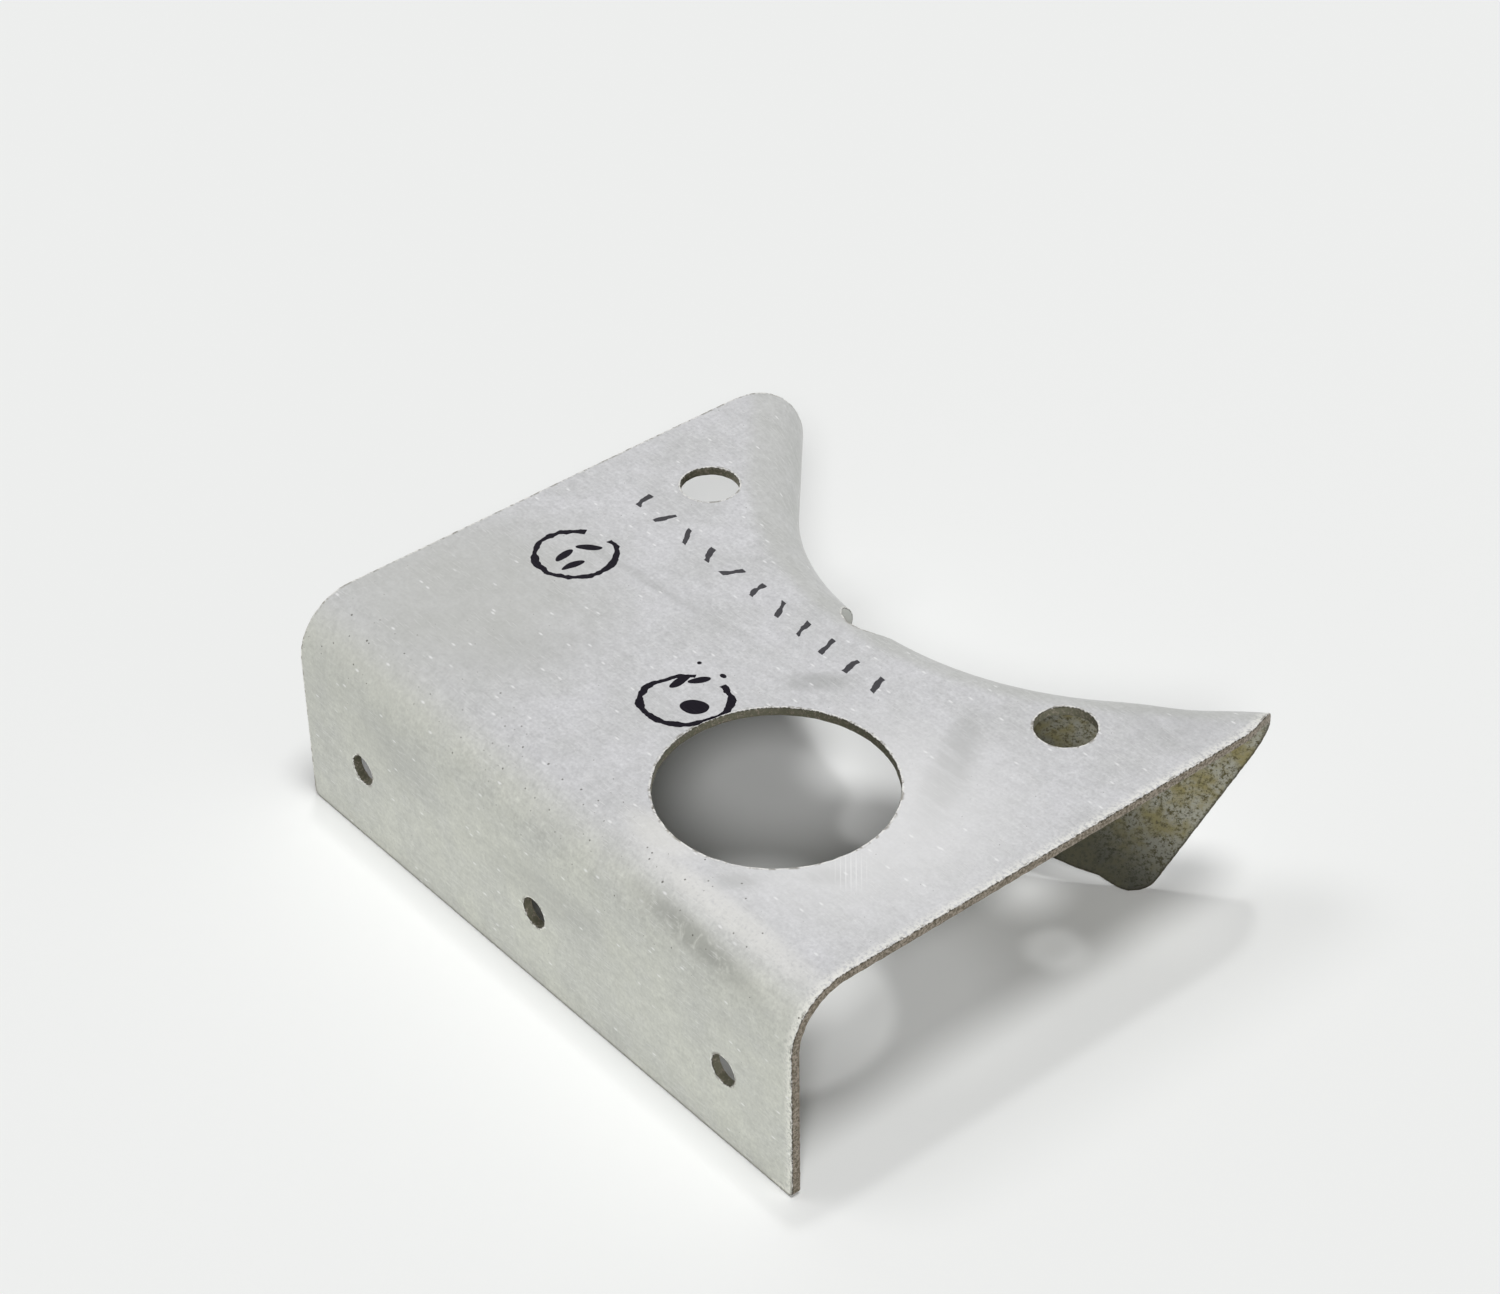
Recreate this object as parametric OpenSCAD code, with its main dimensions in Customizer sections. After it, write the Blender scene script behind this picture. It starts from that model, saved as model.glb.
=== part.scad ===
// Folded sheet bracket: flat web, straight front flange and a hollow-curved
// rear flange that is split into two ears by a relief slot. Millimetres.
// X runs along the bracket, Y from front to rear, Z up from the floor.
// The origin is on the floor under the middle of the whole part.

/* [Sheet] */
// Thickness of the aluminium sheet
sheet_t = 1.05; // [0.8:0.05:1.3]
// Overall length between the two square ends
body_l = 80; // [76:0.5:86]
// Height of the web's top face above the floor
body_h = 25.4; // [24:0.1:27]
// Distance from the front face back to the part's origin
mid_y = 33.49; // [32:0.01:36]

/* [Front flange] */
// Outer radius of the front bend
front_r = 6.9; // [4:0.1:8]
// Height of the rivet holes above the floor
rivet_z = 9.6; // [6:0.1:14]
// Pitch of the rivet holes
rivet_pitch = 29.8; // [24:0.1:32]
// Diameter of the rivet holes
rivet_d = 3.3; // [2.4:0.1:4.2]
// Radius on the flange's two lower corners
flange_r = 0.8; // [0.4:0.1:2]

/* [Rear bend] */
// Depth of the web in the middle, from the front face to the rear fold line
web_y = 40.6; // [38:0.1:43]
// Radius of the arc that the rear bend starts on
arc_r = 42.4; // [38:0.1:46]
// Half angle of that arc, straight tangents run on from its ends
arc_a = 42.3; // [41:0.1:44]
// Outer radius of the rear bend
rear_r = 6.2; // [5.5:0.1:7]
// How far the ears are folded past square
over_a = 9.5; // [7:0.1:11]

/* [Ears, measured on the flat blank] */
// Distance from the end of the fold line back to the sharp outer corner
corner_back = 5.05; // [4:0.05:7]
// Radius on the outer corner
corner_r = 11.2; // [9:0.1:13]
// Slant of the outer edge that runs from the corner to the tip
slant_a = 18.6; // [17:0.1:21]
// Distance of the sharp tip from the end
tip_x = 28; // [27:0.1:29]
// Radius on the tip
tip_r = 3.2; // [2:0.1:5]
// Radius of the relief slot's round bottom
relief_r = 3.7; // [3.2:0.05:4]
// Distance from the fold line back to the relief's bottom
relief_back = 1.7; // [1:0.1:2.5]

/* [Holes in the web] */
// Distance of the lightening hole from the middle, along the length
big_x = 15.25; // [12:0.05:18]
// Distance of the lightening hole from the front face
big_y = 19.25; // [18:0.05:21]
// Diameter of the lightening hole
big_d = 24.5; // [20:0.1:25]
// Distance between the two fixing holes
fix_span = 55.9; // [52:0.1:58]
// Distance of their middle from the part's middle
fix_x = -0.75; // [-2:0.05:2]
// How far the fixing holes lie behind the web's depth in the middle
fix_back = 6.5; // [5:0.05:7.5]
// Diameter of the fixing holes
fix_d = 6.35; // [5:0.05:7]

/* [Show] */
// Node to draw

/* [Hidden] */
$fn = 96;
half_l = body_l / 2;
neutral_r = rear_r - sheet_t / 2;
fold_a = 90 + over_a;
// Length of the rear bend along the sheet's middle, from the web to the ear
bend_q = neutral_r * fold_a * PI / 180;
// Height of both bends' own axes
front_z = body_h - front_r;
rear_z = body_h - rear_r;
// Centre of the arc, and its end, where the straight tangent starts
arc_y = web_y + arc_r;
turn_p = [arc_r * sin(arc_a), arc_y - arc_r * cos(arc_a)];
// Corner, tip and relief on the flat blank, X from the middle
corner_p = [half_l, turn_p[1] + (half_l - turn_p[0]) * tan(arc_a) + corner_back];
tip_p = corner_p + tip_x * [-1, tan(slant_a)];
relief_p = [0, web_y + relief_back + relief_r];
// Directions of the blank's edges from the tip: outwards to the corner and
// down the slot's straight side, which touches the relief circle
edge_u = [cos(slant_a), -sin(slant_a)];
slot_v = relief_p - tip_p;
slot_a = atan2(slot_v[1], slot_v[0]) + asin(relief_r / norm(slot_v));
slot_u = [cos(slot_a), sin(slot_a)];
touch_p = tip_p + slot_u * sqrt(slot_v * slot_v - relief_r * relief_r);
touch_a = atan2(touch_p[0], arc_y - touch_p[1]);
// Distance of the slot's side from the arc's centre, and where it is nearest
side_v = tip_p - [0, arc_y];
side_d = abs(side_v[0] * slot_u[1] - side_v[1] * slot_u[0]);
side_a = slot_a + 180;
// Centre of the outer corner's radius on the blank
round_p = corner_p - [corner_r, corner_r * tan(45 - slant_a / 2)];
// Overlap of pieces that run into each other, and the hair by which each
// next one is thinner, as stretched sheet is: their surfaces never coincide
lap = 0.5;
hair = 0.03;
// How far a radius crosses the edges it joins, instead of just touching them
graze = 0.02;
// Angle around the bend of the relief's bottom and of its centre
relief_b = relief_back / neutral_r * 180 / PI;
relief_a = relief_b + asin(relief_r / neutral_r);

color([0.79, 0.79, 0.8])
bracket();

module bracket() {
  translate([0, -mid_y, 0])
  difference() {
    union() {
      web();
      front_flange();
      rear_arc();
      ear_end();
      mirror([1, 0, 0])
      ear_end();
    }
    ear_cuts();
    mirror([1, 0, 0])
    ear_cuts();
    relief();
    slot();
    web_holes();
    rivet_holes();
    flange_corner();
    mirror([1, 0, 0])
    flange_corner();
  }
}

// Flat web from the front bend to just before the rear bend
module web() {
  translate([0, 0, body_h - sheet_t])
  linear_extrude(sheet_t)
  difference() {
    translate([-half_l, front_r])
    square([body_l, arc_y]);
    translate([0, arc_y])
    circle(arc_r + 2 * lap);
    side_field();
    mirror([1, 0])
    side_field();
  }
}

// Area behind the straight part of the rear bend, right side
module side_field() {
  polygon([[0, arc_y], on_blank(-lap / 2, -3 * lap), on_blank(body_l, -3 * lap)]);
}

// Straight flange with its bend along the whole front
module front_flange() {
  translate([-half_l, 0, 0])
  rotate([90, 0, 90])
  linear_extrude(body_l) {
    square([sheet_t, front_z]);
    translate([front_r, front_z])
    rotate(90)
    bend_ring(front_r, 90, 0);
  }
}

// Section of a bend of a degrees that starts at the top, thinner by thin
module bend_ring(r, a, thin) {
  difference() {
    circle(r - thin);
    circle(r - sheet_t + thin);
    rotate(180 - a)
    translate([-2 * r, -2 * r])
    square([2 * r, 4 * r]);
    translate([-2 * r, -2 * r])
    square([2 * r, 4 * r]);
  }
}

// Section of the rear flange: a strip of the web, the bend and the ear
module rear_section(ear, thin) {
  translate([-6 * lap, rear_r - sheet_t + thin])
  square([6 * lap, sheet_t - 2 * thin]);
  bend_ring(rear_r, fold_a, thin);
  rotate(-fold_a)
  translate([-lap, rear_r - sheet_t + thin + hair])
  square([ear + lap, sheet_t - 2 * (thin + hair)]);
}

// Curved middle of the rear flange, before the slot is cut
module rear_arc() {
  translate([0, arc_y, 0])
  rotate([0, 0, 270 - arc_a])
  rotate_extrude(angle = 2 * arc_a)
  translate([arc_r, rear_z])
  mirror([1, 0])
  rear_section(side_q(arc_a) - bend_q, 0);
}

// Straight outer part of the right ear, before its outline is cut
module ear_end() {
  in_line()
  translate([-lap, 0, 0])
  rotate([90, 0, 90])
  linear_extrude(in_line_s(corner_p) + 2 * lap)
  rear_section(in_line_q(tip_p) - bend_q + 4 * lap, hair);
}

// Right straight bend's own frame: X along it, Y outwards, Z up
module in_line() {
  translate([turn_p[0], turn_p[1], rear_z])
  rotate([0, 0, arc_a])
  children();
}

// From that frame, s along and q past the fold line, to the flat blank and back
function on_blank(s, q) = turn_p + s * [cos(arc_a), sin(arc_a)] + q * [-sin(arc_a), cos(arc_a)];
function in_line_s(p) = (p - turn_p) * [cos(arc_a), sin(arc_a)];
function in_line_q(p) = (p - turn_p) * [-sin(arc_a), cos(arc_a)];
function in_line_uv(u) = [u * [cos(arc_a), sin(arc_a)], u * [-sin(arc_a), cos(arc_a)]];

// Cuts that give the right ear its outline
module ear_cuts() {
  in_line() {
    end_cut();
    rotate([-fold_a, 0, 0])
    translate([0, -bend_q, rear_r - 3 * sheet_t])
    linear_extrude(5 * sheet_t)
    tip_cut();
  }
}

// Below the slot's straight side and round the tip, on the flat ear
module tip_cut() {
  tip = [in_line_s(tip_p), in_line_q(tip_p)];
  turn = [0, side_q(arc_a) + 3 * hair];
  far = 2 * tip[1];
  polygon([[-2, turn[1] + lap], turn, tip, tip * 1.4 - turn * 0.4, [tip[0], far], [-2, far]]);
  round_off(tip, in_line_uv(edge_u), in_line_uv(slot_u), tip_r);
}

// What a radius takes off a sharp corner p with edges along u and v
module round_off(p, u, v, r) {
  w = (u + v) / norm(u + v);
  h = acos(u * v) / 2;
  difference() {
    polygon([p + u * r / tan(h), p - 2 * w, p + v * r / tan(h), p + w * r / sin(h)]);
    translate(p + w * (r - graze) / sin(h))
    circle(r);
  }
}

// Everything past the end's outline: corner radius, then the slanted edge,
// carried round the bend square to the sheet
module end_cut() {
  n = 20;
  turn = 90 - slant_a;
  round = [for (i = [1 : n]) round_p + corner_r * [cos(turn * i / n), sin(turn * i / n)]];
  outline = concat([[half_l + 0.05, round_p[1] - 2]], round, [tip_p - 4 * edge_u]);
  points = [for (p = outline) each end_row(in_line_s(p), in_line_q(p))];
  last = 4 * len(outline) - 4;
  sides = [for (i = [0 : 4 : last - 4], j = [0 : 3]) each end_faces(i, j)];
  polyhedron(points, concat([[0, 1, 2, 3]], sides, [[last + 3, last + 2, last + 1, last]]));
}

function end_row(s, q) = [
  for (p = [[s, -1], [s, 1], [body_l, 1], [body_l, -1]])
    [p[0], fold_out(q, p[1]), fold_z(q, p[1]) - rear_z]
];

function end_faces(k, j) = [
  [k + j, k + j + 4, k + (j + 1) % 4 + 4],
  [k + j, k + (j + 1) % 4 + 4, k + (j + 1) % 4]
];

module web_holes() {
  translate([big_x, big_y, body_h - 2 * sheet_t])
  cylinder(d = big_d, h = 3 * sheet_t);
  for (s = [-1, 1])
    translate([fix_x + s * fix_span / 2, web_y + fix_back, body_h - 2 * sheet_t])
    cylinder(d = fix_d, h = 3 * sheet_t);
}

module rivet_holes() {
  for (i = [-1 : 1])
    translate([i * rivet_pitch, -sheet_t, rivet_z])
    rotate([-90, 0, 0])
    cylinder(d = rivet_d, h = 3 * sheet_t);
}

// What the radius takes off the flange's lower right corner
module flange_corner() {
  translate([0, 2 * sheet_t, 0])
  rotate([90, 0, 0])
  linear_extrude(3 * sheet_t)
  round_off([half_l, 0], [-1, 0], [0, 1], flange_r);
}

// Round bottom of the slot, cut square to the bend; the slot does the rest
module relief() {
  translate([0, web_y, rear_z])
  rotate([-relief_a, 0, 0])
  translate([0, 0, rear_r / 2])
  linear_extrude(rear_r)
  difference() {
    circle(relief_r);
    translate([-2 * relief_r, relief_r / 2])
    square(4 * relief_r);
  }
}

// Opening between the ears: the blank's straight slot sides as they come
// out when the sheet is folded round the arc
module slot() {
  start = [relief_r - graze, rear_z + neutral_r * cos(relief_a)];
  n = 10;
  side = [for (i = [0 : n]) side_point(touch_a + 1 + (arc_a - touch_a - 1) * i / n)];
  right = concat([start], side, [[side[n][0], -5]]);
  left = [for (i = [len(right) - 1 : -1 : 0]) [-right[i][0], right[i][1]]];
  translate([0, arc_y, 0])
  rotate([90, 0, 0])
  linear_extrude(arc_r - 1)
  polygon(concat(right, left));
}

// How far past the fold line the slot's side lies at angle a round the arc
function side_q(a) = arc_r - side_d / cos(side_a - a);

// The same point on the folded sheet, seen from the rear
function side_point(a) = let (q = side_q(a))
  [(arc_r - fold_out(q, 0)) * sin(a), fold_z(q, 0)];

// How far behind the bend's start, and how high, the folded sheet is at q
// past the fold line; h is the height above the sheet's middle
function bend_at(q) = max(0, min(q / neutral_r * 180 / PI, fold_a));
function past(q) = max(q - bend_q, 0);
function fold_out(q, h) = min(q, 0) + (neutral_r + h) * sin(bend_at(q)) + past(q) * cos(fold_a);
function fold_z(q, h) = rear_z + (neutral_r + h) * cos(bend_at(q)) - past(q) * sin(fold_a);
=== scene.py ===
"""Looks, light and camera for the folded sheet bracket. Metres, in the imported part's frame."""

import math

import bpy
import numpy as np
from mathutils import Matrix, Vector
from mathutils.geometry import delaunay_2d_cdt


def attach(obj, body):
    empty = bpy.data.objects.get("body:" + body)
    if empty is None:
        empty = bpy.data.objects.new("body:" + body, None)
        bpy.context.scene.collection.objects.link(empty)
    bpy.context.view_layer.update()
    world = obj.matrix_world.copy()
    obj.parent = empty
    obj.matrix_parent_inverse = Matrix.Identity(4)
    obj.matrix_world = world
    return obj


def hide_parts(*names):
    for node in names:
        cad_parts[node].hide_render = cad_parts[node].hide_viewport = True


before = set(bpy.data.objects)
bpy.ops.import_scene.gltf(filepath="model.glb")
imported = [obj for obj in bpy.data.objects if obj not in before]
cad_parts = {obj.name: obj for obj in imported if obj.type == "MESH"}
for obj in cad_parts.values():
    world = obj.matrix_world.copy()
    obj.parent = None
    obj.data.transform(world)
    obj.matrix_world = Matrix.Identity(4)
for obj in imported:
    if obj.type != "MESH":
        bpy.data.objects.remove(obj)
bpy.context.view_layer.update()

MM = 0.001

# Sizes of the part in millimetres, as its source gives them, with y 0 at the front face
# and the bends' radii at the outer face
SHEET_T = 1.05
HALF_L = 40.0
BODY_H = 25.4
MID_Y = 33.49  # where the frame has its y 0
# Front bend, rivet holes in the flange, and the corners of its lower edge
FRONT_R = 6.9
RIVET_Z, RIVET_PITCH, RIVET_D = 9.6, 29.8, 3.3
FLANGE_R = 0.8
# Rear fold line: an arc round (0, ARC_Y) up to the angle ARC_A on either side
ARC_Y, ARC_R, ARC_A = 83.0, 42.4, math.radians(42.3)
REAR_R, FOLD_A = 6.2, math.radians(99.5)
# Ears on the blank: corner at the part's end, slanted edge, tip, and relief between them
CORNER_Y, CORNER_R, SLANT_A = 67.12, 11.2, math.radians(18.6)
TIP_X, TIP_R = 28.0, 3.2
RELIEF_R, RELIEF_Y = 3.7, 42.3
# Lightening hole and the two fixing holes
BIG_X, BIG_Y, BIG_D = 15.25, 19.25, 24.5
FIX_SPAN, FIX_X, FIX_Y, FIX_D = 55.9, -0.75, 47.1, 6.35

# What follows from them. The blank is the sheet unrolled at the middle of its thickness.
FRONT_MID_R = FRONT_R - SHEET_T / 2
REAR_MID_R = REAR_R - SHEET_T / 2
FRONT_Z = BODY_H - FRONT_R
REAR_Z = BODY_H - REAR_R
FRONT_BEND = FRONT_MID_R * math.pi / 2
REAR_BEND = REAR_MID_R * FOLD_A
BLANK_LOW = FRONT_R - FRONT_BEND - FRONT_Z
BLANK_TOP = CORNER_Y + TIP_X * math.tan(SLANT_A)
TANGENT = np.array([math.cos(ARC_A), math.sin(ARC_A)])
OUTWARD = np.array([-math.sin(ARC_A), math.cos(ARC_A)])
ARC_END = np.array([ARC_R * math.sin(ARC_A), ARC_Y - ARC_R * math.cos(ARC_A)])

# How finely the blank is cut up, in mm
GRID_STEP = 0.6
EDGE_STEP, SMALL_CORNER_STEP, RELIEF_STEP = 0.28, 0.15, 0.3
BIG_STEP, FIX_STEP, RIVET_STEP = 0.45, 0.3, 0.2
SECOND_ROW = 0.32  # distance of a row of points just inside every cut edge
FAR_FROM_RIM = 9.0  # the rim value grows no further than this

# The cut edge: how far the rolled-over corners draw back, and how far all of it stays
# inside the solid, so that the burrs don't leave its box
ROLL, KEEP_IN = 0.13, 0.05
# Share of the roll at each height, from 1 at the outer face to -1 at the inner one
RIM_PROFILE = ((0.45, 0.975), (0.12, 0.86), (0.0, 0.6), (0.05, 0.2),
               (0.05, -0.3), (0.0, -0.7), (0.15, -0.9), (0.5, -0.98))
# A hollow near one end and a rise inside it, in the frame: x, y, width, height. They fade
# out down the bends, and so does the web's unevenness.
DENTS = ((31.5, 27.2, 4.2, -0.42), (29.3, 27.6, 1.1, 0.22))
DENT_FOOT, DENT_FADE, WAVE_FOOT, WAVE_FADE = 14, 8, 20, 5
WAVE_X, WAVE_Y, WAVE_DEPTH = 7.1, 8.3, 0.03
# One UV unit is this many mm of the blank, and its middle is the blank's x 0, y 0
UV_UNIT = 100.0
# Material numbers of the outer face, the inner face and the cut edge
OUTER, INNER, CUT = 0, 1, 2


# Shape of the sheet

def rear_fold(flat):
    """The point of the rear fold line beside each point of the blank, the unit vector square
    to the line there, and how far past the line the point lies. The line is an arc of radius
    ARC_R round (0, ARC_Y) up to the angle ARC_A, then its tangent. Both halves use |x|."""
    x, y = np.abs(flat[:, 0]), flat[:, 1]
    angle = np.arctan2(x, ARC_Y - y)
    on_arc = angle < ARC_A
    bounded = np.minimum(angle, ARC_A)
    from_end = np.stack([x, y], 1) - ARC_END
    on_circle = np.stack([ARC_R * np.sin(angle), ARC_Y - ARC_R * np.cos(angle)], 1)
    on_tangent = ARC_END + (from_end @ TANGENT)[:, None] * TANGENT
    start = np.where(on_arc[:, None], on_circle, on_tangent)
    square = np.stack([-np.sin(bounded), np.cos(bounded)], 1)
    past = np.where(on_arc, ARC_R - np.hypot(x, ARC_Y - y), from_end @ OUTWARD)
    return start, square, past


def fold(flat, height):
    """Flat blank to folded sheet, in mm. The front fold turns the blank round a straight
    cylinder, y = FRONT_R - (n + h) sin a and z = FRONT_Z + (n + h) cos a, with n the radius at
    mid-thickness, h the height above it and a = distance / n. Past the bend the sheet runs on
    straight. The rear fold does the same square to its curved fold line."""
    x, y = flat[:, 0], flat[:, 1]
    start, square, past_line = rear_fold(flat)
    turn = np.clip(past_line / REAR_MID_R, 0, FOLD_A)
    past = np.maximum(past_line - REAR_BEND, 0)
    reach = (REAR_MID_R + height) * np.sin(turn) + past * math.cos(FOLD_A)
    ear_z = REAR_Z + (REAR_MID_R + height) * np.cos(turn) - past * math.sin(FOLD_A)
    ear = start + square * reach[:, None]
    before = FRONT_R - y
    bend = np.clip(before / FRONT_MID_R, 0, math.pi / 2)
    drop = np.maximum(before - FRONT_BEND, 0)
    front_y = FRONT_R - (FRONT_MID_R + height) * np.sin(bend)
    front_z = FRONT_Z + (FRONT_MID_R + height) * np.cos(bend) - drop
    out = np.stack([np.abs(x), y, BODY_H - SHEET_T / 2 + height], 1)
    out = np.where((past_line > 0)[:, None], np.stack([ear[:, 0], ear[:, 1], ear_z], 1), out)
    out = np.where((before > 0)[:, None], np.stack([np.abs(x), front_y, front_z], 1), out)
    out[:, 0] *= np.where(x < 0, -1.0, 1.0)
    out[:, 1] -= MID_Y
    return out


def arc_points(centre, radius, start, stop, step):
    """Points on a circle, centre + r (cos a, sin a), from start to stop, about step apart."""
    n = max(2, int(math.ceil(abs(stop - start) * radius / step)))
    a = np.linspace(start, stop, n + 1)
    return np.stack([centre[0] + radius * np.cos(a), centre[1] + radius * np.sin(a)], 1)


def rounded(corner, u, v, radius, step):
    """Arc that joins two edges leaving a corner along u and v, its centre r / sin(h) along
    their bisector, where h is half the corner's angle."""
    middle = (u + v) / np.linalg.norm(u + v)
    h = math.acos(float(u @ v)) / 2
    centre = corner + middle * radius / math.sin(h)
    a = corner + u * radius / math.tan(h) - centre
    b = corner + v * radius / math.tan(h) - centre
    start = math.atan2(a[1], a[0])
    sweep = math.atan2(b[1], b[0]) - start
    sweep = (sweep + math.pi) % (2 * math.pi) - math.pi
    return arc_points(centre, radius, start, start + sweep, step)


def spaced(loop, step):
    """The same closed loop with its long stretches split, so that no two points are over
    step apart."""
    stretch = np.roll(loop, -1, 0) - loop
    count = np.maximum(1, np.ceil(np.linalg.norm(stretch, axis=1) / step)).astype(int)
    k = np.repeat(np.arange(len(loop)), count)
    share = (np.arange(count.sum()) - np.repeat(np.cumsum(count) - count, count)) / count[k]
    return loop[k] + stretch[k] * share[:, None]


def blank_outline():
    """The flat blank's outer edge, counter-clockwise: flange edge, end, corner radius,
    slanted edge, tip radius, slot side and relief, then the same mirrored."""
    low = np.array([HALF_L, BLANK_LOW])
    corner = np.array([HALF_L, CORNER_Y])
    tip = np.array([HALF_L - TIP_X, BLANK_TOP])
    relief = np.array([0, RELIEF_Y + RELIEF_R])
    left, up = np.array([-1.0, 0.0]), np.array([0.0, 1.0])
    slant = np.array([math.cos(SLANT_A), -math.sin(SLANT_A)])
    to_relief = relief - tip
    slot_a = math.atan2(to_relief[1], to_relief[0]) + math.asin(RELIEF_R / np.linalg.norm(to_relief))
    slot = np.array([math.cos(slot_a), math.sin(slot_a)])
    touch = tip + slot * math.sqrt(to_relief @ to_relief - RELIEF_R ** 2) - relief
    half = np.concatenate([
        rounded(low, left, up, FLANGE_R, SMALL_CORNER_STEP),
        rounded(corner, -up, -slant, CORNER_R, EDGE_STEP),
        rounded(tip, slant, slot, TIP_R, EDGE_STEP),
        arc_points(relief, RELIEF_R, math.atan2(touch[1], touch[0]), -math.pi / 2, RELIEF_STEP)])
    other = half[::-1] * [-1, 1]
    return spaced(np.concatenate([half, other[1:]]), EDGE_STEP)


def hole_outlines():
    """Circles of the six holes on the blank, clockwise."""
    flange_y = FRONT_R - FRONT_BEND - (FRONT_Z - RIVET_Z)
    rings = [(BIG_X, BIG_Y, BIG_D / 2, BIG_STEP)]
    rings += [(FIX_X + s * FIX_SPAN / 2, FIX_Y, FIX_D / 2, FIX_STEP) for s in (-1, 1)]
    rings += [(i * RIVET_PITCH, flange_y, RIVET_D / 2, RIVET_STEP) for i in (-1, 0, 1)]
    return [arc_points((x, y), r, 2 * math.pi, 0, step)[:-1] for x, y, r, step in rings]


def inside(points, loops):
    """Even-odd rule: a point is inside if a line to its right crosses the loops an odd number
    of times."""
    a = np.concatenate(loops)
    b = np.concatenate([np.roll(loop, -1, 0) for loop in loops])
    px, py = points[:, :1], points[:, 1:]
    spans = (a[:, 1] > py) != (b[:, 1] > py)
    rise = np.where(b[:, 1] == a[:, 1], 1.0, b[:, 1] - a[:, 1])
    cross = a[:, 0] + (py - a[:, 1]) * (b[:, 0] - a[:, 0]) / rise
    return (spans & (px < cross)).sum(1) % 2 == 1


def nearest(points, path):
    """Distance from each point to the closest point of the path."""
    return np.sqrt(((points[:, None, :] - path[None, :, :]) ** 2).sum(2).min(1))


def loop_normals(loop):
    """Unit vectors square to a closed loop, out of the metal: the tangent turned by a quarter."""
    t = np.roll(loop, -1, 0) - np.roll(loop, 1, 0)
    t /= np.linalg.norm(t, axis=1)[:, None]
    return np.stack([t[:, 1], -t[:, 0]], 1)


def smooth_noise(x, period, seed):
    """Mean of four sine waves along x with unrelated lengths and phases, from -1 to 1."""
    rng = np.random.default_rng(seed)
    k = rng.uniform(0.6, 1.9, 4)
    phase = rng.uniform(0, 2 * math.pi, 4)
    return np.sin(2 * math.pi * x[..., None] / period * k + phase).mean(-1)


def cut_blank(loops):
    """The blank in triangles: a grid of staggered points, a row just inside each cut edge and
    the edges themselves. Gives the points, edge points first, and the triangles."""
    edge = np.concatenate(loops)
    gx, gy = np.meshgrid(np.arange(-HALF_L + GRID_STEP, HALF_L, GRID_STEP),
                         np.arange(BLANK_LOW + GRID_STEP, BLANK_TOP, GRID_STEP))
    gx = gx + (np.arange(len(gx)) % 2 * GRID_STEP / 2)[:, None]
    grid = np.stack([gx.ravel(), gy.ravel()], 1)
    grid = grid[inside(grid, loops)]
    grid = grid[nearest(grid, edge) > GRID_STEP]
    rows = [(loop - loop_normals(loop) * SECOND_ROW)[::2] for loop in loops]
    flat = np.concatenate([edge, grid] + rows)
    starts = np.cumsum([0] + [len(loop) for loop in loops])
    links = [np.stack([np.arange(a, b), np.roll(np.arange(a, b), -1)], 1)
             for a, b in zip(starts, starts[1:])]
    links = np.concatenate(links)
    out = delaunay_2d_cdt([Vector(p) for p in flat.tolist()], links.tolist(), [], 0, 1e-6)
    flat = np.array([tuple(p) for p in out[0]])
    tris = np.array(out[2])
    assert np.allclose(flat[:len(edge)], edge, atol=1e-5), "edge points changed places"
    return flat, tris[inside(flat[tris].mean(1), loops)], links


def sheet_mesh():
    """The folded sheet: a triangulated blank is folded twice, at the outer and at the inner
    face, and a rounded, uneven rim profile is carried along every cut edge between them.
    Its point values are the distance from the nearest cut edge, the height through the sheet
    from 1 to -1, 1 on the walls of the holes, and the distance past the rear fold line."""
    loops = [blank_outline()] + hole_outlines()
    edge = np.concatenate(loops)
    flat, tris, links = cut_blank(loops)
    n, m = len(flat), len(edge)
    half = SHEET_T / 2
    normals = np.concatenate([loop_normals(loop) for loop in loops])
    # Burrs of up to 0.08 mm, a millimetre or two long. The last number is the noise's seed.
    run = np.arange(m) * EDGE_STEP
    burr = 0.05 * smooth_noise(run, 1.7, 3) + 0.03 * smooth_noise(run, 0.9, 4)
    inset = np.zeros((n, 2))
    inset[:m] = normals * (ROLL + burr)[:, None]
    top = fold(flat - inset, np.full(n, half))
    low = fold(flat - inset, np.full(n, -half))

    # Points come in this order: outer face, inner face, and a row for each height of the rim
    rows, levels = [], [np.ones(n), -np.ones(n)]
    for k, (share, level) in enumerate(RIM_PROFILE):
        rough = 0.03 * smooth_noise(run, 1.3 + 0.2 * k, 11 + k) + 0.5 * burr
        back = ROLL * share + KEEP_IN + np.where(abs(level) > 0.95, burr * 0.8, rough)
        rows.append(fold(edge - normals * back[:, None], np.full(m, half * level)))
        levels.append(np.full(m, level))
    verts = dented(np.concatenate([top, low] + rows))
    uv = np.concatenate([flat, flat] + [edge] * len(rows))

    here = np.arange(m)
    ahead = links[:, 1]
    ids = [here] + [2 * n + k * m + here for k in range(len(rows))] + [n + here]
    strips = [np.stack([a[here], b[here], b[ahead], a[ahead]], 1) for a, b in zip(ids, ids[1:])]
    rims = np.concatenate(strips)

    rim = np.minimum(nearest(flat, edge), FAR_FROM_RIM)
    drilled = np.zeros(len(verts))
    drilled[2 * n:] = np.tile(here >= len(loops[0]), len(rows))
    faces = tris.tolist() + (tris[:, ::-1] + n).tolist() + rims.tolist()
    kind = [OUTER] * len(tris) + [INNER] * len(tris) + [CUT] * len(rims)
    values = {"rim": np.concatenate([rim, rim, np.zeros(m * len(rows))]),
              "through": np.concatenate(levels), "drilled": drilled, "bend": rear_fold(uv)[2]}
    return verts, faces, kind, uv, values


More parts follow.
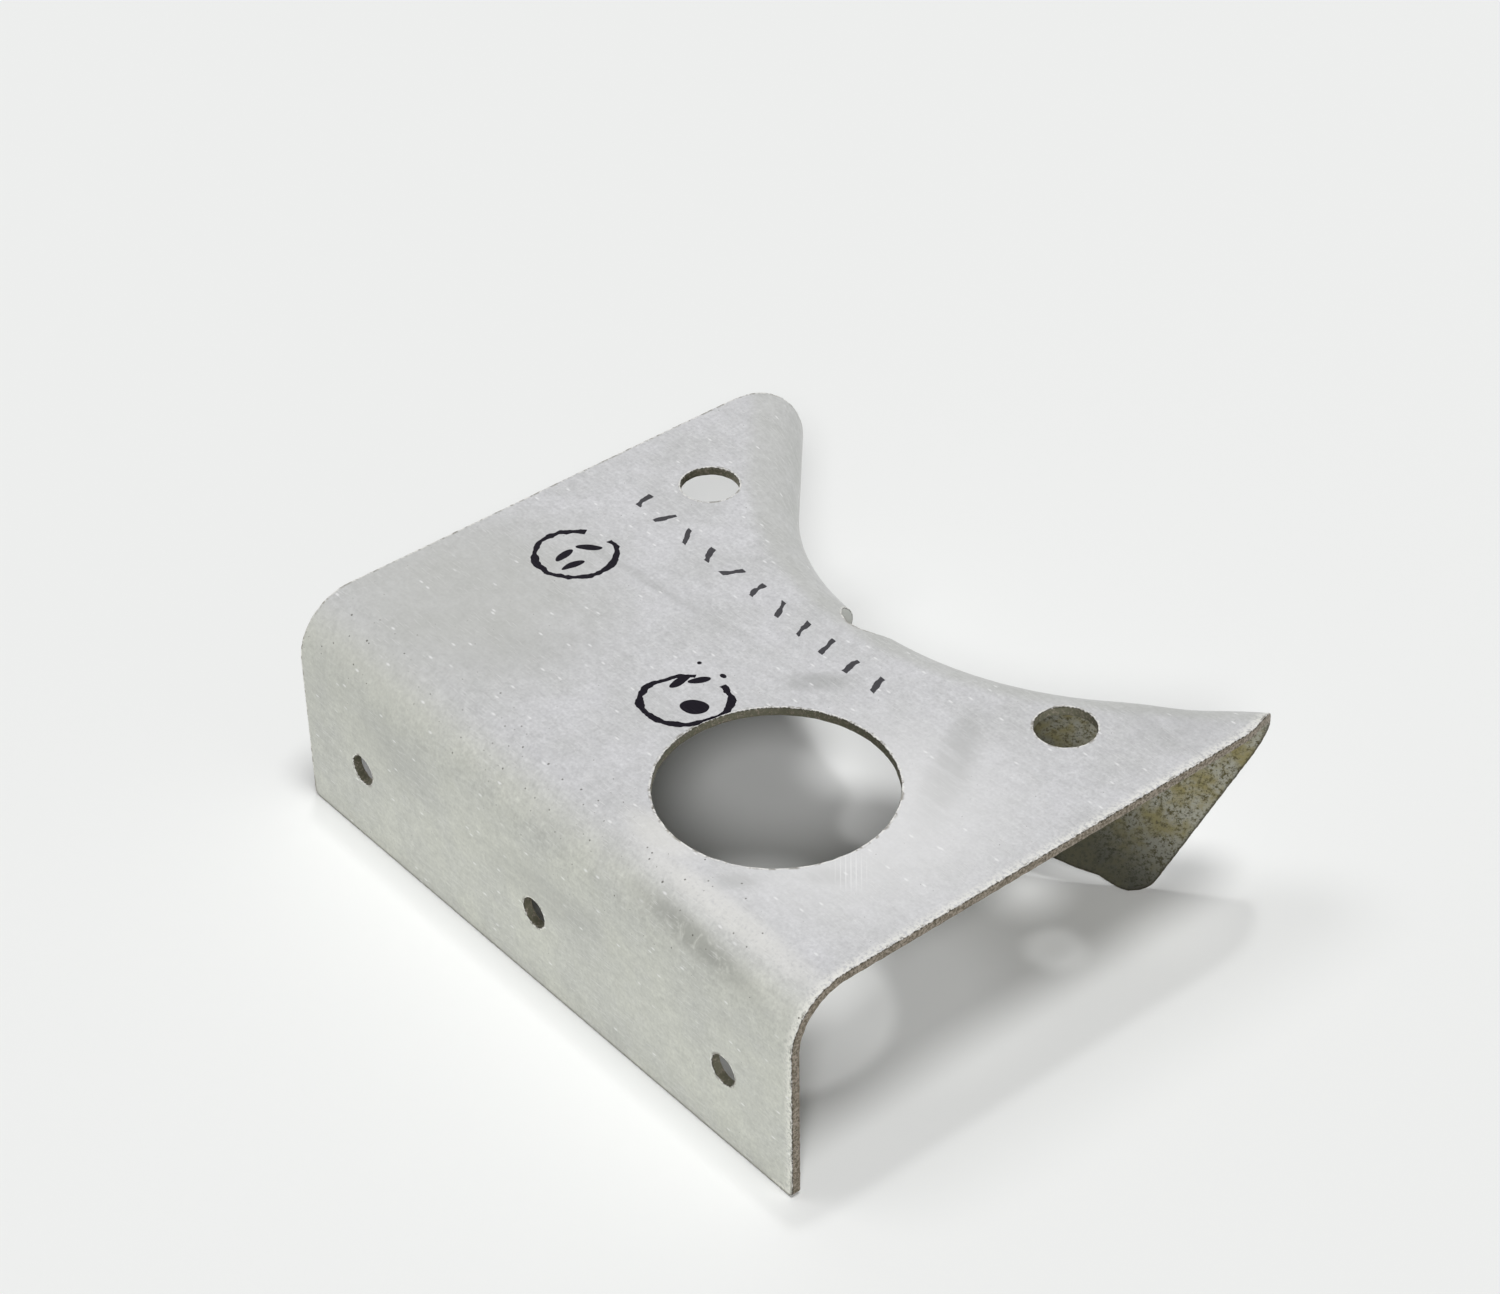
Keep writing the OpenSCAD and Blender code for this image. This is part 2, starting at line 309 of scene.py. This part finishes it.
def dented(v):
    """Small damage of the real sheet, as round bell shapes, d exp(-(r / w)^2) along Z around
    a place, and the web's slight unevenness, a product of two sine waves that is never above
    its plane."""
    out = v.copy()
    for x, y, w, d in DENTS:
        near = np.exp(-((v[:, 0] - x) ** 2 + (v[:, 1] - y) ** 2) / w ** 2)
        out[:, 2] += d * near * np.clip((v[:, 2] - DENT_FOOT) / DENT_FADE, 0, 1)
    wave = np.sin(v[:, 0] / WAVE_X + 1) * np.sin(v[:, 1] / WAVE_Y + 0.5) - 1
    out[:, 2] += WAVE_DEPTH * wave * np.clip((v[:, 2] - WAVE_FOOT) / WAVE_FADE, 0, 1)
    return out


def add_mesh(name, verts, faces, kind, uv, values, materials):
    """A mesh object at the origin from arrays in mm, with the flat blank as its UV map and
    named point values as attributes."""
    mesh = bpy.data.meshes.new(name)
    mesh.from_pydata((verts * MM).tolist(), [], faces)
    mesh.polygons.foreach_set("material_index", kind)
    mesh.polygons.foreach_set("use_smooth", [True] * len(faces))
    corner = np.empty(len(mesh.loops), int)
    mesh.loops.foreach_get("vertex_index", corner)
    layer = mesh.uv_layers.new(name="blank")
    layer.data.foreach_set("uv", (uv[corner] / UV_UNIT + 0.5).ravel())
    for key, value in values.items():
        mesh.attributes.new(key, "FLOAT", "POINT").data.foreach_set("value", value)
    for m in materials:
        mesh.materials.append(m)
    mesh.update()
    obj = bpy.data.objects.new(name, mesh)
    bpy.context.scene.collection.objects.link(obj)
    return obj


# Materials. A pattern's scale is 1 / its size in mm, and places are those of the blank.

# Smudges on the web: x, y, half width, half height, turn in degrees, strength
SMUDGES = (
    (24.7, 33.6, 13.0, 3.2, -57, 1.0), (5.4, 33.0, 5.5, 2.4, 50, 0.8), (23.6, 7.4, 3.2, 1.7, 50, 0.8),
    (28.8, 14.4, 3.6, 1.9, 50, 0.9), (-18, 31, 20, 1.1, 5, 0.4), (33, 56, 9, 7, 0, 0.45),
    (2, -8, 14, 4, 5, 0.45), (-24, -6, 9, 6, 0, 0.35), (-18, 14, 12, 5, 60, 0.3))

# Other patches, in the same form without the strength: a lighter and a darker part of the web,
# a dark mark below the front bend's ridge, partly a smudge and partly painted shade, the ridge
# of the front bend and a patch above it, painted bright, partly rub wear and partly painted
# highlight, and a band of fine score lines, SCORE_PITCH apart
LIGHT_PATCH, DARKER_PATCH = (25, 22, 20, 24), (-30, 14, 24, 22)
BEND_SMUDGE_AND_SHADE = (24.5, 0.6, 13, 2.0, -3)
BEND_RIDGE, BEND_RUB_AND_HIGHLIGHT = (26, 4.2, 22, 2.0), (13.5, 6.0, 7, 3.2)
SCORED = (29.6, 16.4, 2.4, 4.0, 49)
SCORE_PITCH = 0.5

# Felt pen marks: x, y, half width, half height, turn in degrees
PEN_RINGS = ((-27.7, 28.4, 4.35, 4.2, 47), (-0.7, 21.5, 4.6, 3.9, 48))
PEN_BLOTS = (
    (0.9, 21.5, 1.45, 1.15, 40), (-27.6, 30.3, 1.4, 0.50, 40), (-28.2, 27.4, 1.4, 0.50, 100),
    (-26.2, 27.0, 1.4, 0.48, 85), (-3.4, 23.1, 1.3, 0.55, 95), (-2.1, 24.6, 1.2, 0.50, 60),
    (-1.0, 26.9, 0.40, 0.32, 0), (-4.4, 26.4, 0.25, 0.25, 0))
# Row of pen ticks: how many, how far apart, half of their height, where the row starts and
# its turn in degrees
TICK_COUNT, TICK_PITCH, TICK_HALF = 11, 4.1, 1.15
TICK_ROW, TICK_ROW_TURN = (-32.6, 40.2, 0), -3.4


def linear(code):
    """Hex sRGB colour to the linear one that Blender's sockets take."""
    c = np.array([int(code[i:i + 2], 16) for i in (1, 3, 5)]) / 255
    c = np.where(c <= 0.04045, c / 12.92, ((c + 0.055) / 1.055) ** 2.4)
    return (*c.tolist(), 1.0)


def node(mat, kind, *ordered, **named):
    """Adds a node and gives its first output. A value, or another node's output, goes to an input
    by its order or by its name, with a capital and _ for a blank. A small name is a setting."""
    n = mat.node_tree.nodes.new("ShaderNode" + kind)
    inputs = dict(enumerate(ordered))
    for key, value in named.items():
        if key[0].isupper():
            inputs[key.replace("_", " ")] = value
        else:
            setattr(n, key, value)
    for key, value in inputs.items():
        if isinstance(value, bpy.types.NodeSocket):
            mat.node_tree.links.new(value, n.inputs[key])
        else:
            n.inputs[key].default_value = value
    return n.outputs[0] if len(n.outputs) else n


def new_material(name):
    """An empty node material."""
    m = bpy.data.materials.new(name)
    m.use_nodes = True
    m.node_tree.nodes.clear()
    return m


def solid_place(m):
    """Object coordinates in mm."""
    texture = node(m, "TexCoord").node
    return node(m, "VectorMath", texture.outputs["Object"], Scale=1 / MM, operation="SCALE")


def blank_place(m):
    """The place on the flat blank in mm, from the UV map."""
    texture = node(m, "TexCoord").node
    return node(m, "Mapping", Vector=texture.outputs["UV"], Location=(-UV_UNIT / 2, -UV_UNIT / 2, 0),
                Scale=(UV_UNIT, UV_UNIT, 1))


def oval(m, flat, x, y, w, h, turn):
    """Coordinates on an oval of the blank, and the distance from its middle, 1 on its rim."""
    local = node(m, "Mapping", Vector=flat, Location=(x, y, 0), Rotation=(0, 0, math.radians(turn)),
                 Scale=(w, h, 1), vector_type="TEXTURE")
    return local, node(m, "VectorMath", local, operation="LENGTH").node.outputs["Value"]


def spot(m, flat, x, y, w, h, turn=0):
    """Soft oval patch on the blank: 1 in its middle, 0 at its rim."""
    distance = oval(m, flat, x, y, w, h, turn)[1]
    return node(m, "MapRange", distance, 1.0, 0.2, interpolation_type="SMOOTHSTEP")


def layered(m, colour, layers):
    """Colours laid over one another. A layer is where it lies, from 0 to 1, the share of it
    that covers what is below, and its colour."""
    for where, share, code in layers:
        amount = node(m, "Math", where, share, operation="MULTIPLY")
        colour = node(m, "MixRGB", amount, colour, linear(code))
    return colour


def finish(m, colour, rough, metal, height, depth):
    """Principled shader of the material, with a bump of depth mm."""
    bump = node(m, "Bump", Height=height, Distance=depth * MM, Strength=1.0)
    shader = node(m, "BsdfPrincipled", Base_Color=colour, Roughness=rough, Metallic=metal, Normal=bump)
    node(m, "OutputMaterial", Surface=shader)
    return m


def rolled_outside():
    """Mill-finish aluminium sheet, rolled, folded and handled. To the eye it is a satin grey,
    with a lilac tinge on the web, clouded by smudges, with hair scratches, short white nicks,
    dark pits that lie thickest along the front bend, and a felt pen's rings and ticks. Light and
    shade are painted in too: the flange and the rear bend are painted darker and greener as
    painted shade, the ridges and cut edges are painted bright, partly rub wear and partly
    painted highlight, and a dark mark below the front bend's ridge is partly a smudge and
    partly painted shade."""
    m = new_material("mill_finish_aluminium_scuffed")
    solid, flat = solid_place(m), blank_place(m)
    x, y = node(m, "SeparateXYZ", Vector=flat).node.outputs[:2]
    rim = node(m, "Attribute", attribute_name="rim").node.outputs["Fac"]
    bend = node(m, "Attribute", attribute_name="bend").node.outputs["Fac"]
    # The sheet's grain is finer than this, and is drawn coarse enough to show
    grain = node(m, "TexNoise", Vector=solid, Scale=1 / 0.385, Detail=5.0, Roughness=0.65)
    mottle = node(m, "TexNoise", Vector=solid, Scale=1 / 1.333, Detail=4.0, Roughness=0.7,
                  Distortion=0.6)
    cloud = node(m, "TexNoise", Vector=solid, Scale=1 / 6.25, Detail=3.0, Roughness=0.55)

    # Painted shade: the flange is painted a little darker and greener than the web, though they are one
    # sheet.
    on_flange = node(m, "MapRange", y, 5.0, 0.5, interpolation_type="SMOOTHSTEP")
    colour = node(m, "MixRGB", on_flange, linear("#d2d2d4"), linear("#cccdc5"))
    clouds = node(m, "MapRange", cloud, 0.35, 0.65)
    colour = layered(m, colour, [(clouds, 0.4, "#bcbdbb")])

    # Grain, mottling and streaks, 2.5 mm long in two directions, darken or lighten the colour
    shades = [(grain, 0.87, 1.11), (mottle, 0.92, 1.07)]
    for turn, shift in ((0.5, 0), (-0.7, 30)):
        lie = node(m, "Mapping", Vector=flat, Location=(shift, 0, 0), Rotation=(0, 0, turn),
                   Scale=(1 / 2.5, 1 / 0.4545, 1))
        streaks = node(m, "TexNoise", Vector=lie, Scale=1.0, Detail=3.0, noise_dimensions="2D")
        shades.append((streaks, 0.975, 1.025))
    for pattern, darkest, lightest in shades:
        shade = node(m, "MapRange", pattern, 0.3, 0.7, darkest, lightest)
        colour = node(m, "MixRGB", 1.0, colour, shade, blend_type="MULTIPLY")

    # Smudges, broken up by smears of 8 mm that were wiped one way
    smudged = 0.0
    for *place, strength in SMUDGES:
        patch = node(m, "Math", spot(m, flat, *place), strength, operation="MULTIPLY")
        smudged = node(m, "Math", smudged, patch, operation="MAXIMUM")
    wiped = node(m, "Mapping", Vector=flat, Rotation=(0, 0, 0.35), Scale=(1 / 8.333, 1 / 1.111, 1))
    smear = node(m, "TexNoise", Vector=wiped, Scale=1.0, Detail=4.0, Roughness=0.6)
    smear = node(m, "MapRange", smear, 0.15, 0.55, interpolation_type="SMOOTHSTEP")
    smudged = node(m, "Math", smudged, smear, operation="MULTIPLY")
    # A dark mark below the front bend's ridge, blotched: partly a smudge and partly painted shade.
    blotchy = node(m, "MapRange", mottle, 0.3, 0.55, interpolation_type="SMOOTHSTEP")
    bend_smudge_and_shade = node(m, "Math", spot(m, flat, *BEND_SMUDGE_AND_SHADE), blotchy, operation="MULTIPLY")

    # Painted highlights that are partly real wear: the ridge of the front bend, and every cut
    # edge, most at the near end
    grainy = node(m, "MapRange", grain, 0.2, 0.5, interpolation_type="SMOOTHSTEP")
    ridge = node(m, "Math", spot(m, flat, *BEND_RIDGE), grainy, operation="MULTIPLY")
    rub_and_highlight = node(m, "Math", ridge, spot(m, flat, *BEND_RUB_AND_HIGHLIGHT), operation="MAXIMUM")
    # Painted shade: the rear bend and the ears' outer faces are painted darker and greener.
    rear_bend_shade = node(m, "MapRange", bend, -0.4, 1.6, interpolation_type="SMOOTHSTEP")
    near_end = node(m, "MapRange", x, 36.0, 38.5, interpolation_type="SMOOTHSTEP")
    # Painted highlight, partly edge wear: a bright band along the cut edges, widest at the near end.
    wear_and_highlight_width = node(m, "Math", near_end, 1.2, 0.36, operation="MULTIPLY_ADD")
    by_rim = node(m, "MapRange", rim, wear_and_highlight_width, 0.1, interpolation_type="SMOOTHSTEP")
    coarse = node(m, "MapRange", grain, 0.38, 0.56, interpolation_type="SMOOTHSTEP")
    wear_and_highlight = node(m, "Math", by_rim, coarse, operation="MULTIPLY")

    # Dark bites in the edges here and there, and all along the flange's lower one
    at_rim = node(m, "MapRange", rim, 0.5, 0.1, interpolation_type="SMOOTHSTEP")
    bites = node(m, "MapRange", mottle, 0.5, 0.6, interpolation_type="SMOOTHSTEP")
    at_foot = node(m, "MapRange", y, -18.0, -20.0, interpolation_type="SMOOTHSTEP")
    bites = node(m, "Math", bites, at_foot, operation="MAXIMUM")
    nibbled = node(m, "Math", at_rim, bites, operation="MULTIPLY")

    # Parallel score lines
    score_x, score_y, *_, score_turn = SCORED
    score = node(m, "Mapping", Vector=flat, Location=(score_x, score_y, 0),
                 Rotation=(0, 0, math.radians(score_turn)), Scale=(SCORE_PITCH, 1, 1),
                 vector_type="TEXTURE")
    score = node(m, "Math", node(m, "SeparateXYZ", Vector=score), 0.5, operation="PINGPONG")
    score = node(m, "MapRange", score, 0.16, 0.06, interpolation_type="SMOOTHSTEP")
    scored = node(m, "Math", score, spot(m, flat, *SCORED), operation="MULTIPLY")

    # Hair scratches in three directions, where there are clouds of them. Each cell of the
    # pattern, about 8 by 0.4 mm, has one.
    hairs = 0.0
    for turn, shift in ((0.35, 0), (-0.9, 40), (1.45, 80)):
        lie = node(m, "Mapping", Vector=flat, Location=(shift, shift, 0), Rotation=(0, 0, turn),
                   Scale=(1 / 7.692, 1 / 0.4167, 1))
        hair = node(m, "TexVoronoi", Vector=lie, Scale=1.0, voronoi_dimensions="2D")
        hair = node(m, "MapRange", hair, 0.085, 0.03, interpolation_type="SMOOTHSTEP")
        hairs = node(m, "Math", hairs, hair, operation="MAXIMUM")
    in_cloud = node(m, "MapRange", cloud, 0.4, 0.6, interpolation_type="SMOOTHSTEP")
    hairs = node(m, "Math", hairs, in_cloud, operation="MULTIPLY")

    # White nicks in three directions, each in a cell of 10 by 4 mm, and only in some cells
    nicks = 0.0
    for turn, shift in ((0.8, 0), (-0.35, 25), (1.5, 60)):
        lie = node(m, "Mapping", Vector=flat, Location=(shift, 0, 0), Rotation=(0, 0, turn),
                   Scale=(1 / 10, 1 / 3.846, 1))
        cell = node(m, "TexVoronoi", Vector=lie, Scale=1.0, voronoi_dimensions="2D")
        nick = node(m, "MapRange", cell, 0.045, 0.01, interpolation_type="SMOOTHSTEP")
        chosen = node(m, "MapRange", cell.node.outputs["Color"], 0.45, 0.6,
                      interpolation_type="SMOOTHSTEP")
        nick = node(m, "Math", nick, chosen, operation="MULTIPLY")
        nicks = node(m, "Math", nicks, nick, operation="MAXIMUM")

    # Pits, up to one in each 0.9 mm, larger towards the front bend
    from_bend = node(m, "Math", y, 3.5, operation="SUBTRACT")
    from_bend = node(m, "Math", from_bend, 0.0, operation="ABSOLUTE")
    pit_size = node(m, "MapRange", from_bend, 1.0, 9.0, 0.17, 0.07)
    pitted = node(m, "MapRange", mottle, 0.4, 0.65, interpolation_type="SMOOTHSTEP")
    pit_size = node(m, "Math", pit_size, pitted, operation="MULTIPLY")
    pit = node(m, "TexVoronoi", Vector=solid, Scale=1 / 0.87)
    pits = node(m, "Math", pit, pit_size, operation="LESS_THAN")

    colour = layered(m, colour, [
        (smudged, 0.62, "#9d9e9c"),
        (spot(m, flat, *LIGHT_PATCH), 0.65, "#e6e6e6"),
        (spot(m, flat, *DARKER_PATCH), 0.55, "#bbbcb6"),
        (bend_smudge_and_shade, 0.6, "#8f908a"),
        (rub_and_highlight, 0.5, "#e8e7e2"),
        (rear_bend_shade, 0.3, "#b0b2a8"),
        (wear_and_highlight, 0.7, "#f2f1ea"),
        (nibbled, 0.7, "#6d675a"),
        (scored, 0.6, "#eeeeee"),
        (hairs, 0.45, "#e9e9e8"),
        (nicks, 0.6, "#f4f4f4"),
        (pits, 0.75, "#5d5b54"),
        (felt_pen(m, flat), 1.0, "#1a1620")])

    # Scratches are a little glossier, and they and the pits are sunk
    polish = node(m, "Math", hairs, 0.1, operation="MULTIPLY")
    rough = node(m, "MapRange", grain, 0.3, 0.7, 0.42, 0.54)
    rough = node(m, "Math", rough, polish, operation="SUBTRACT")
    sunk = node(m, "Math", hairs, pits, operation="ADD")
    height = node(m, "Math", grain, 0.35, operation="MULTIPLY")
    height = node(m, "Math", height, sunk, operation="SUBTRACT")
    return finish(m, colour, rough, 1.0, height, 0.012)


def felt_pen(m, flat):
    """Marks of a used-up felt pen, up to 1 where the ink is: two open rings with dashes and a
    blot, and a row of short slanted ticks. Noise of 5 mm wobbles the lines, and noise of
    1.5 mm makes them thick and thin."""
    wobble = node(m, "TexNoise", Vector=flat, Scale=1 / 5, Detail=2.0, noise_dimensions="2D")
    shift = node(m, "VectorMath", wobble.node.outputs["Color"], (0.9, 0.9, 0), operation="MULTIPLY")
    hand = node(m, "VectorMath", flat, shift, operation="ADD")
    press = node(m, "TexNoise", Vector=flat, Scale=1 / 1.538, Detail=2.0, noise_dimensions="2D")
    width = node(m, "MapRange", press, 0.3, 0.7, 0.22, 0.56)
    ink = 0.0

    # A ring is a line at distance 1 from the middle, left out towards one side
    ring_width = node(m, "Math", width, 4.6, operation="DIVIDE")
    for place in PEN_RINGS:
        local, distance = oval(m, hand, *place)
        line = node(m, "Math", distance, 1.0, ring_width, operation="COMPARE")
        aside = node(m, "VectorMath", local, (0.54, 0.84, 0), operation="DOT_PRODUCT")
        nearly = node(m, "Math", distance, 0.93, operation="MULTIPLY")
        gap = node(m, "Math", aside.node.outputs["Value"], nearly, operation="GREATER_THAN")
        line = node(m, "Math", line, gap, operation="SUBTRACT")
        ink = node(m, "Math", ink, line, operation="MAXIMUM")
    for place in PEN_BLOTS:
        blot = node(m, "Math", oval(m, hand, *place)[1], 1.0, operation="LESS_THAN")
        ink = node(m, "Math", ink, blot, operation="MAXIMUM")

    # Ticks: one in each cell along the row, leaning by a number drawn for the cell
    row = node(m, "Mapping", Vector=hand, Location=TICK_ROW, Scale=(TICK_PITCH, 1, 1),
               Rotation=(0, 0, math.radians(TICK_ROW_TURN)), vector_type="TEXTURE")
    along, across = node(m, "SeparateXYZ", Vector=row).node.outputs[:2]
    cell = node(m, "Math", along, 0.0, operation="FLOOR")
    middle = node(m, "Math", cell, 0.5, operation="ADD")
    off = node(m, "Math", along, middle, operation="SUBTRACT")
    off = node(m, "Math", off, TICK_PITCH, operation="MULTIPLY")
    lean = node(m, "MapRange", node(m, "TexWhiteNoise", W=cell, noise_dimensions="1D"), 0, 1, -0.5, 0.9)
    off = node(m, "Math", lean, across, off, operation="MULTIPLY_ADD")
    tick_width = node(m, "Math", width, 0.85, operation="MULTIPLY")
    tick = node(m, "Math", off, 0.0, tick_width, operation="COMPARE")
    in_height = node(m, "Math", across, 0.0, TICK_HALF, operation="COMPARE")
    in_row = node(m, "Math", cell, (TICK_COUNT - 1) / 2, TICK_COUNT / 2, operation="COMPARE")
    tick = node(m, "Math", tick, in_height, operation="MULTIPLY")
    tick = node(m, "Math", tick, in_row, operation="MULTIPLY")
    faded = node(m, "Math", tick, 0.9, operation="MULTIPLY")
    return node(m, "Math", ink, faded, operation="MAXIMUM")


def soiled_inside():
    """The same mill-finish sheet's inner face, never wiped. To the eye it is dull metal under
    an olive-brown film of old dirt and oil in blotches, with dark specks, darker along the cut
    edges. Under the web, low down and towards the middle it is painted darker still, as
    painted shade."""
    m = new_material("mill_finish_aluminium_soiled")
    solid = solid_place(m)
    along, _, up = node(m, "SeparateXYZ", Vector=solid).node.outputs
    rim = node(m, "Attribute", attribute_name="rim").node.outputs["Fac"]
    bend = node(m, "Attribute", attribute_name="bend").node.outputs["Fac"]
    grain = node(m, "TexNoise", Vector=solid, Scale=1 / 0.5263, Detail=6.0, Roughness=0.75)
    blotch = node(m, "TexNoise", Vector=solid, Scale=1 / 2.941, Detail=5.0, Roughness=0.62)

    film = node(m, "MapRange", blotch, 0.4, 0.62, interpolation_type="SMOOTHSTEP")
    colour = node(m, "MixRGB", film, linear("#b0afa3"), linear("#948c62"))
    caked = node(m, "MapRange", grain, 0.47, 0.62, interpolation_type="SMOOTHSTEP")
    # Painted shade: the inner face before the rear fold line, under the web, is painted darker.
    shade_under_web = node(m, "MapRange", bend, -1.0, -4.0, interpolation_type="SMOOTHSTEP")
    # Painted shade: darker low down and towards the middle, where the web's shadow falls.
    low = node(m, "Math", along, 1.1, up, operation="MULTIPLY_ADD")
    low = node(m, "MapRange", low, 48.0, 33.0, interpolation_type="SMOOTHSTEP")
    speck = node(m, "TexVoronoi", Vector=solid, Scale=1 / 0.4)
    speck = node(m, "Math", blotch, 0.5, speck, operation="MULTIPLY_ADD")
    specks = node(m, "MapRange", speck, 0.52, 0.34, interpolation_type="SMOOTHSTEP")
    by_cut = node(m, "MapRange", rim, 0.5, 0.0, interpolation_type="SMOOTHSTEP")
    colour = layered(m, colour, [
        (caked, 1.0, "#625c40"), (shade_under_web, 0.7, "#504f38"), (low, 0.85, "#3f4038"),
        (specks, 0.55, "#2f2a20"), (by_cut, 0.8, "#37342a")])

    metal = node(m, "MapRange", film, 0, 1, 0.9, 0.35)
    return finish(m, colour, 0.62, metal, grain, 0.03)


def torn_edge():
    """Sheared and filed cut face of the aluminium sheet. To the eye it is brown-grey old metal,
    torn and speckled. Near the outer face a dark band is painted as the burr's shadow, and a
    bright rolled-over lip, partly bright metal and partly painted highlight, draws a light
    line round the part. The drilled holes are duller and the relief slot is cleaner."""
    m = new_material("sheared_aluminium_edge")
    solid = solid_place(m)
    x = node(m, "SeparateXYZ", Vector=blank_place(m))
    through = node(m, "Attribute", attribute_name="through").node.outputs["Fac"]
    drilled = node(m, "Attribute", attribute_name="drilled").node.outputs["Fac"]
    bend = node(m, "Attribute", attribute_name="bend").node.outputs["Fac"]
    grain = node(m, "TexNoise", Vector=solid, Scale=1 / 0.3125, Detail=4.0, Roughness=0.7)

    torn = node(m, "MapRange", grain, 0.38, 0.62, interpolation_type="SMOOTHSTEP")
    colour = node(m, "MixRGB", torn, linear("#665d4c"), linear("#a1978a"))
    speck = node(m, "TexVoronoi", Vector=solid, Scale=1 / 0.385)
    specks = node(m, "MapRange", speck, 0.24, 0.12, interpolation_type="SMOOTHSTEP")
    dulled = node(m, "MapRange", grain, 0.72, 0.45, interpolation_type="SMOOTHSTEP")
    dulled = node(m, "Math", dulled, drilled, operation="MULTIPLY")
    from_middle = node(m, "Math", x, 0.0, operation="ABSOLUTE")
    in_slot = node(m, "MapRange", from_middle, 7.0, 4.0, interpolation_type="SMOOTHSTEP")
    behind = node(m, "MapRange", bend, 0.0, 1.0, interpolation_type="SMOOTHSTEP")
    slot = node(m, "Math", in_slot, behind, operation="MULTIPLY")
    # Painted shadow: a dark band near the outer face, as under the burr.
    line = node(m, "Math", grain, -0.4, through, operation="MULTIPLY_ADD")
    line = node(m, "MapRange", line, 0.45, 0.7, interpolation_type="SMOOTHSTEP")
    # Painted highlight, partly bright metal: a light lip right at the outer face.
    lip = node(m, "Math", grain, 0.9, through, operation="MULTIPLY_ADD")
    lip = node(m, "MapRange", lip, 1.3, 1.5, interpolation_type="SMOOTHSTEP")
    colour = layered(m, colour, [
        (specks, 1.0, "#3f3a30"), (dulled, 1.0, "#6f6e5c"), (slot, 1.0, "#d4d5d0"),
        (line, 0.8, "#35332a"), (lip, 1.0, "#dddcd9")])

    metal = node(m, "MapRange", lip, 0, 1, 0.55, 1.0)
    return finish(m, colour, 0.55, metal, grain, 0.05)


finishes = [rolled_outside(), soiled_inside(), torn_edge()]
bracket = add_mesh("bracket_sheet", *sheet_mesh(), finishes)
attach(bracket, "root")
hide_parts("bracket")


# Floor, light and camera, in metres and degrees

FLOOR_HALF = 3.0
# Lamps: name, direction in which the light travels, spread, strength
LAMPS = (
    ("overhead_softbox", (-5.5, 0.6, -25.4), 16, 1.32),
    ("front_softbox", (-23.5, 20.5, -25.4), 14, 1.44),
    ("rear_lamp", (3.8, -3.7, -25.4), 5, 0.40),
    ("left_softbox", (9.5, 8.0, -25.4), 22, 0.38))
SENSOR_MM, LENS_MM = 36.0, 87.07
CAMERA_AT = (0.22493, -0.19016, 0.2537)
YAW, PITCH, ROLL_A = math.radians(39.502), math.radians(37.642), math.radians(0.904)


def floor_sheet():
    """A pale card, wide enough to fill the view."""
    s = FLOOR_HALF
    mesh = bpy.data.meshes.new("floor")
    mesh.from_pydata([(-s, -s, 0), (s, -s, 0), (s, s, 0), (-s, s, 0)], [], [(0, 1, 2, 3)])
    floor = bpy.data.objects.new("floor", mesh)
    bpy.context.scene.collection.objects.link(floor)
    m = new_material("white_card")
    node(m, "OutputMaterial", Surface=node(m, "BsdfDiffuse", Color=linear("#eff0ef")))
    mesh.materials.append(m)


def studio_world():
    """An even white surround. Seen directly, in metal or through glass it is white, and it
    lights the object more gently than that, so that the lamps keep their shadows."""
    world = bpy.data.worlds.new("studio")
    bpy.context.scene.world = world
    world.use_nodes = True
    world.node_tree.nodes.clear()
    path = node(world, "LightPath").node
    seen = node(world, "Math", path.outputs["Is Camera Ray"], path.outputs["Is Glossy Ray"],
                operation="MAXIMUM")
    seen = node(world, "Math", seen, path.outputs["Is Transmission Ray"], operation="MAXIMUM")
    strength = node(world, "MapRange", seen, 0, 1, 0.05, 1.0)
    node(world, "OutputWorld", Surface=node(world, "Background", Color=(1, 1, 1, 1), Strength=strength))


def soft_sun(name, travel, spread, strength):
    """Even light from one side of the sky, travelling along the vector travel."""
    data = bpy.data.lights.new(name, "SUN")
    data.energy, data.angle = strength, math.radians(spread)
    lamp = bpy.data.objects.new(name, data)
    lamp.location = (0, 0, 0.5)
    lamp.visible_glossy = False
    lamp.rotation_euler = Vector(travel).to_track_quat("-Z", "Y").to_euler()
    bpy.context.scene.collection.objects.link(lamp)


def add_camera():
    """Pinhole camera at the photograph's place: forward, right and up from yaw, pitch and roll."""
    data = bpy.data.cameras.new("camera")
    data.sensor_width, data.lens = SENSOR_MM, LENS_MM
    data.clip_start, data.clip_end = 0.01, 20
    cam = bpy.data.objects.new("camera", data)
    bpy.context.scene.collection.objects.link(cam)
    ahead = Vector((-math.cos(YAW), math.sin(YAW), 0))
    right = Vector((math.sin(YAW), math.cos(YAW), 0))
    up = Vector((0, 0, 1))
    forward = ahead * math.cos(PITCH) - up * math.sin(PITCH)
    down = -ahead * math.sin(PITCH) - up * math.cos(PITCH)
    x = right * math.cos(ROLL_A) + down * math.sin(ROLL_A)
    y = right * math.sin(ROLL_A) - down * math.cos(ROLL_A)
    turn = Matrix((x, y, -forward)).transposed()
    cam.matrix_world = Matrix.Translation(CAMERA_AT) @ turn.to_4x4()
    bpy.context.scene.camera = cam


floor_sheet()
studio_world()
for lamp in LAMPS:
    soft_sun(*lamp)
add_camera()
bpy.context.scene.view_settings.view_transform = "Standard"
